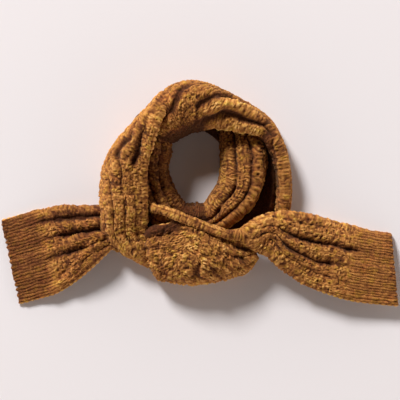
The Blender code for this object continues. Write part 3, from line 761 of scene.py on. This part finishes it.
def caps_of(count, around, columns, inner_at):
    """The faces that close both ends of the rings: one over each inner facet, and one for each selvedge."""
    right_roll = list(range(columns - 1, columns + EDGE_TURNS + 1))
    inner_ring = list(range(columns + EDGE_TURNS, columns + EDGE_TURNS + len(inner_at)))
    left_roll = list(range(inner_ring[-1], around)) + [0]
    caps = [right_roll, left_roll]
    for at in range(len(inner_at) - 1):
        over = list(range(inner_at[at], inner_at[at + 1] + 1))
        caps.append(over + [inner_ring[-2 - at], inner_ring[-1 - at]])
    last = (count - 1) * around
    return [cap[::-1] for cap in caps] + [[last + at for at in cap] for cap in caps]


def knit_strand(name, rows, span, grooves, creases, painted_areas, knitting, seed, cuff=None, ends=(0, 0), step=STEP,
                tuck=0.0, lead_end=-1.0):
    """A stretch of the strip as one closed sheet. Its rings run over the outer face from the left edge to the
    right, round the right edge, back along the plain inner face and round the left edge. cuff gives the stations
    where the wide ribs end, where the 1 x 1 rib starts, and where the wide ribs have flattened. tuck is how far its
    start dips under its neighbour, and lead_end is the station where the narrow lead's chains end. Each use of
    chance has the seed plus a number of its own."""
    stations, distance = even_stations(rows, span, step)
    sections = spline(rows, stations)
    depth = fold_depths(sections)
    rib, place = rib_columns()
    edges, depths = groove_table(grooves, stations)
    drift = soft_noise(distance[:, None] / DRIFT_LENGTH, 3.7 * np.arange(edges.shape[1])[None], seed + 14)
    edges = edges + GROOVE_DRIFT * drift * np.minimum(np.diff(edges, prepend=0), np.diff(edges, append=1))
    shares = edges[:, rib] + (edges[:, rib + 1] - edges[:, rib]) * place
    inset = RIB_INSET * depth + EDGE_INSET
    points, drawn = middle(sections, shares, inset)
    points[:, :, 2] -= tuck * (1 - ease(distance / TUCK_LENGTH))[:, None]
    coarse = middle(sections, np.tile(np.linspace(0, 1, COARSE_SHARES), (len(stations), 1)), inset)[0]
    normal = unit(np.cross(np.gradient(coarse, axis=1), np.gradient(coarse, axis=0)))
    sideways = unit(np.gradient(coarse, axis=1))
    normal, sideways = unit(resample(normal, shares)), unit(resample(sideways, shares))

    along, across = distance[:, None], shares * drawn
    lead = ease(lead_end - stations)[:, None]
    relief = knit_relief(rib, place, shares, drawn, distance, knitting, lead, seed)
    amount = STITCH_RELIEF * np.ones((len(stations), 1))
    weight = depths[:, rib] + (depths[:, rib + 1] - depths[:, rib]) * place
    wavering = soft_noise(along / WAVER_LENGTH, rib[None] + np.round(place)[None] + 0.5, seed + 9)
    weight = weight * np.clip(1 + GROOVE_WAVER * wavering, 0.25, 2)
    swell = lumps(rib, distance, knitting.lumpy, seed + 6) - weight * (1 - rib_swell(rib, place))
    crease = crease_depth(creases, stations, distance, shares, drawn)
    if cuff:
        fade, fine_start, flat = cuff
        turn = ease((stations - fade) / (fine_start - fade))[:, None]
        level = ease((stations - fade) / (flat - fade))[:, None]
        relief = relief * (1 - turn) + cuff_stitches(shares, distance, seed + 7) * turn
        amount = amount * (1 - turn) + CUFF_RELIEF * turn
        depth = depth * (1 - 0.75 * level)
    # Stitches are shallower where their rib is squeezed. Their shade is painted shade: darker between the stitches, in
    # the grooves and in the creases
    width = np.gradient(shares, axis=1) * drawn / (np.gradient(place + rib)[None] * CLOTH_WIDTH / len(COLUMNS))
    squeeze = np.clip(1.4 * width, 0.15, 1)
    fibres = patchy(along, across, FIBRES[0], seed + 8) + patchy(along, across, FIBRES[1], seed + 10)
    uneven = HILL_HEIGHT * patchy(along, across, HILLS, seed + 5)
    height = WALL / 2 + depth * swell - crease + amount * squeeze * (relief - SUNK_SHARE) + uneven
    height = np.maximum(height + FIBRE_RELIEF * fibres, DEEPEST_POINT)
    painted_groove_shade = np.clip(0.3 + 0.7 * np.clip(swell, 0, 1) - crease / 0.006, 0.12, 1)
    shade = np.clip((0.06 + 0.94 * relief + 0.08 * fibres) * painted_groove_shade, 0, 1) ** 0.65

    inner_at = np.arange(0, shares.shape[1], INNER_EVERY)
    points, thin, kept = cast_on(points, shares, distance, ends, seed)
    # Painted shade and painted light over whole areas, from the stretch's table
    shade = shade * kept * painted_shading(stations, shares, painted_areas)
    outer = points + normal * (height * thin[:, None])[:, :, None]
    inner = points[:, inner_at] - normal[:, inner_at] * (WALL / 2 * thin)[:, None, None]
    scallop = 1 + 0.45 * (np.abs(np.sin(np.pi * distance / knitting.stitch)) ** 0.8 - 0.5)
    rolls = edge_rolls(points, normal, sideways, height, thin, scallop, steepness(sections))
    ring = np.concatenate([outer, rolls[0], inner[:, ::-1], rolls[1][:, ::-1]], axis=1)
    ring[:, :, 2] = np.maximum(ring[:, :, 2], FLOOR_CLEARANCE)

    count, around = ring.shape[:2]
    # Painted shade on the selvedges, darker between their scallops
    edge_shade = np.repeat(np.clip(0.25 + 0.6 * (scallop - 0.78) / 0.45, 0, 1)[:, None], EDGE_TURNS, axis=1)
    plain = np.full((count, len(inner_at)), 0.45)
    shade = np.concatenate([shade, edge_shade, plain, edge_shade], axis=1)
    u = np.concatenate([shares, 0 * edge_shade + 1, shares[:, inner_at[::-1]], 0 * edge_shade], axis=1) * CLOTH_WIDTH
    v = np.repeat(along, around, axis=1)
    faces = closed_quads(count, around).tolist() + caps_of(count, around, outer.shape[1], inner_at)
    mesh = bpy.data.meshes.new(name)
    mesh.from_pydata(ring.reshape(-1, 3).tolist(), [], faces)
    return knit_piece(name, mesh, shade.ravel(), np.stack([u, v], axis=2).reshape(-1, 2))


def layers_knit():
    """The layers under the coil, whose folded edges show in its gaps: their solid divided into fine even facets,
    with tufts of stitches pressed into its sides and top round the neck hole. Their painted shade is darkest on
    top, under the other strands, and their painted light is lightest on the outer side."""
    source = bmesh.new()
    source.from_mesh(bpy.data.objects["hidden_layers"].data)
    bmesh.ops.remove_doubles(source, verts=source.verts, dist=1e-5)
    coarse = bpy.data.meshes.new("layers_coarse")
    source.to_mesh(coarse)
    source.free()
    helper = in_scene("layers_coarse", coarse)
    fine = helper.modifiers.new("fine", "REMESH")
    fine.mode, fine.voxel_size = "VOXEL", LAYER_FACET
    mesh = bpy.data.meshes.new_from_object(helper.evaluated_get(bpy.context.evaluated_depsgraph_get()))
    bpy.data.objects.remove(helper)
    bpy.data.meshes.remove(coarse)

    points, normals = np.empty(3 * len(mesh.vertices)), np.empty(3 * len(mesh.vertices))
    mesh.vertices.foreach_get("co", points)
    mesh.vertex_normals.foreach_get("vector", normals)
    points, normals = points.reshape(-1, 3), normals.reshape(-1, 3)
    x, y = points[:, 0], points[:, 1] - COIL_Y
    reach = np.hypot(x, y)
    around = COIL_RADIUS * np.arctan2(y, x)
    up = points[:, 2] + np.abs(reach - RIDGE_RADIUS)
    relief = tufts(around + 1.0, up + 1.0, (LAYER_STITCH, LAYER_STITCH), LAYER_LEAN, LAYER_SEED)
    relief = relief * (0.7 + 0.3 * soft_noise(around / LAYER_PATCH, up / LAYER_PATCH, LAYER_SEED + 1))
    sunk = np.where(normals[:, 2] < -0.5, 0, LAYER_RELIEF * (1 - relief))
    points = points - normals * sunk[:, None]
    points[:, 2] = np.maximum(points[:, 2], 0)
    mesh.vertices.foreach_set("co", points.ravel())
    outward = (normals[:, 0] * points[:, 0] + normals[:, 1] * (points[:, 1] - COIL_Y)) / reach
    # Painted shade on the tops under the strands, and painted light on the outer side
    lit = 0.42 + 0.26 * ease(2 * outward) * ease((reach - OUTER_SIDE) / 0.01) - 0.31 * ease(normals[:, 2] / 0.5)
    return knit_piece("lower_layers_knit", mesh, lit * (0.25 + 0.75 * relief), np.stack([around, up], axis=1))


def fill(socket, value):
    """Gives a socket its value, or a link from another node's output."""
    if isinstance(value, bpy.types.NodeSocket):
        socket.id_data.links.new(value, socket)
    else:
        socket.default_value = value


def settle(made, **settings):
    """Gives a shader node its settings: a name with no such property is one of its input sockets."""
    for name, value in settings.items():
        if hasattr(made, name):
            setattr(made, name, value)
        else:
            fill(made.inputs[name.replace("_", " ")], value)
    return made


def node(tree, kind, **settings):
    """A new shader node with its settings."""
    return settle(tree.nodes.new(kind), **settings)


def sums(tree, operation, *values, **settings):
    """What a math node makes of its values."""
    made = node(tree, "ShaderNodeMath", operation=operation, **settings)
    for socket, value in zip(made.inputs, values):
        fill(socket, value)
    return made.outputs["Value"]


def tinted(tree, colour, factor, tint):
    """The colour multiplied by the tint, by as much as the factor says."""
    mix = node(tree, "ShaderNodeMix", data_type="RGBA", blend_type="MULTIPLY")
    for at, value in ((0, factor), (6, colour), (7, (*tint, 1))):
        fill(mix.inputs[at], value)
    return mix.outputs[2]


def patches(tree, place, scale, start, end, most):
    """Where a patch of another dye lies: 0 below the noise's start, and rising to the most at its end."""
    noise = node(tree, "ShaderNodeTexNoise", Vector=place, Scale=scale, Detail=2.0, Roughness=0.55).outputs["Fac"]
    spread = node(tree, "ShaderNodeMapRange", Value=noise, From_Min=start, From_Max=end, To_Max=most)
    return spread.outputs["Result"]


def yarn_material():
    """Fluffy matte wool, with painted shade between the stitches and painted light on them, dyed unevenly, with the
    grain of its strands running across the strip."""
    material = bpy.data.materials.new("golden_brown_wool")
    material.use_nodes = True
    tree = material.node_tree
    place = tree.nodes.new("ShaderNodeTexCoord").outputs["Object"]
    cloth = node(tree, "ShaderNodeUVMap", uv_map="cloth").outputs["UV"]
    shade = node(tree, "ShaderNodeAttribute", attribute_name="shade").outputs["Fac"]
    stretched = node(tree, "ShaderNodeMapping", Vector=cloth, Scale=PLIES_PER_METRE).outputs["Vector"]
    plies = node(tree, "ShaderNodeTexNoise", Vector=stretched, Scale=1.0, Detail=3.0, Roughness=0.6, Distortion=1.2)
    fuzz = node(tree, "ShaderNodeTexNoise", Vector=place, Scale=FUZZ_PER_METRE, Detail=2.0, Roughness=0.6)
    grain = sums(tree, "ADD", plies.outputs["Fac"], fuzz.outputs["Fac"])
    lift = sums(tree, "MULTIPLY_ADD", grain, GRAIN_CONTRAST, -GRAIN_CONTRAST)
    ramp = node(tree, "ShaderNodeValToRGB", Fac=sums(tree, "ADD", shade, lift, use_clamp=True))
    for element, (position, colour) in zip(ramp.color_ramp.elements, (WOOL_STOPS[0], WOOL_STOPS[-1])):
        element.position, element.color = position, (*colour, 1)
    for position, colour in WOOL_STOPS[1:-1]:
        ramp.color_ramp.elements.new(position).color = (*colour, 1)
    colour = ramp.outputs["Color"]
    for scale, start, end, most, tint in DYES:
        colour = tinted(tree, colour, patches(tree, place, scale, start, end, most), tint)
    bump = node(tree, "ShaderNodeBump", Strength=0.8, Distance=0.0008, Height=grain)
    settle(tree.nodes["Principled BSDF"], Roughness=0.92, Specular_IOR_Level=0.15, Sheen_Weight=0.12,
           Sheen_Roughness=0.5, Sheen_Tint=(1.0, 0.74, 0.42, 1.0), Base_Color=colour, Normal=bump.outputs["Normal"])
    return material


def floor_and_surround():
    """The pale floor, and a surround that is brightest near the horizon."""
    floor_mesh = bpy.data.meshes.new("floor")
    corners = [(x * FLOOR_REACH, y * FLOOR_REACH, 0) for x, y in ((-1, -1), (1, -1), (1, 1), (-1, 1))]
    floor_mesh.from_pydata(corners, [], [(0, 1, 2, 3)])
    floor = in_scene("floor", floor_mesh)
    paper = bpy.data.materials.new("pale_floor")
    paper.use_nodes = True
    settle(paper.node_tree.nodes["Principled BSDF"], Base_Color=FLOOR_COLOUR, Roughness=0.9, Specular_IOR_Level=0.1)
    floor_mesh.materials.append(paper)

    world = bpy.context.scene.world = bpy.data.worlds.new("surround")
    world.use_nodes = True
    tree = world.node_tree
    direction = tree.nodes.new("ShaderNodeTexCoord").outputs["Generated"]
    height = node(tree, "ShaderNodeSeparateXYZ", Vector=direction).outputs["Z"]
    fall = node(tree, "ShaderNodeMapRange", Value=height, From_Max=0.6, To_Min=SURROUND[0], To_Max=SURROUND[1])
    settle(tree.nodes["Background"], Strength=fall.outputs["Result"], Color=SURROUND_COLOUR)


def key_and_camera():
    """One soft key light from the upper left, and the camera straight above."""
    bpy.context.scene.view_settings.view_transform = "Standard"
    key = bpy.data.lights.new("key", "AREA")
    key.shape, key.size, key.energy = "DISK", KEY_SIZE, KEY_POWER
    key.color = (0.97, 0.98, 1.0)
    lamp = in_scene("key", key)
    towards = KEY_DISTANCE * Vector(KEY_DIRECTION).normalized()
    lamp.location = towards
    lamp.rotation_euler = towards.to_track_quat("Z", "Y").to_euler()

    lens = bpy.data.cameras.new("camera")
    lens.lens, lens.sensor_width, lens.clip_end = 300.0, 36.0, 100.0
    camera = in_scene("camera", lens)
    camera.location = CAMERA
    bpy.context.scene.camera = camera


def dress(piece, nodes, material):
    """Gives a piece its wool and its place on the body, and hides the solids that it stands for."""
    piece.data.materials.append(material)
    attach(piece, "root")
    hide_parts(*nodes)


def main():
    """The floor, the light and the camera, then the lower layers and the seven stretches on them."""
    wool = yarn_material()
    floor_and_surround()
    key_and_camera()
    dress(layers_knit(), ["hidden_layers"], wool)

    def lay(name, nodes, length, *tables, **more):
        dress(knit_strand(name, *tables, **more), nodes, wool)

    lay("left_end_knit", ["left_cuff", "left_tail"], 0.24, LEFT_END, (0, 5), LEFT_GROOVES, LEFT_CREASES, LEFT_PAINTED_SHADING,
        FLAT_KNIT, 3, cuff=(1.3, 0.95, 0.7), ends=(0.0062, 0))
    lay("outer_turn_knit", ["outer_turn"], 0.44, OUTER_TURN, (0, 11), OUTER_GROOVES, OUTER_CREASES, OUTER_PAINTED_SHADING,
        TURN_KNIT, 5)
    lay("inner_left_knit", ["inner_left"], 0.24, INNER_TURN, (0, 5), INNER_GROOVES, (), INNER_LEFT_PAINTED_SHADING,
        FLAT_KNIT, 8, step=0.0014)
    lay("inner_right_knit", ["inner_right"], 0.27, INNER_TURN, (5, 12), INNER_GROOVES, INNER_CREASES,
        INNER_RIGHT_PAINTED_SHADING, BRAID_KNIT, 8)
    lay("left_strand_knit", ["left_strand"], 0.34, LEFT_STRAND, (0, 8), STRAND_GROOVES, STRAND_CREASES, STRAND_PAINTED_SHADING,
        ROPE_KNIT, 13, tuck=0.01)
    lay("front_wrap_knit", ["front_wrap"], 0.21, FRONT_WRAP, (0, 7), WRAP_GROOVES, WRAP_CREASES, WRAP_PAINTED_SHADING,
        BULKY_KNIT, 17, step=0.001)
    lay("right_end_knit", ["right_tail", "right_cuff"], 0.43, RIGHT_END, (-0.35, 13), RIGHT_GROOVES, RIGHT_CREASES,
        RIGHT_PAINTED_SHADING, FLAT_KNIT, 21, cuff=(11.3, 12.0, 12.4), ends=(0, 0.0028), tuck=0.006, lead_end=6.2)


main()
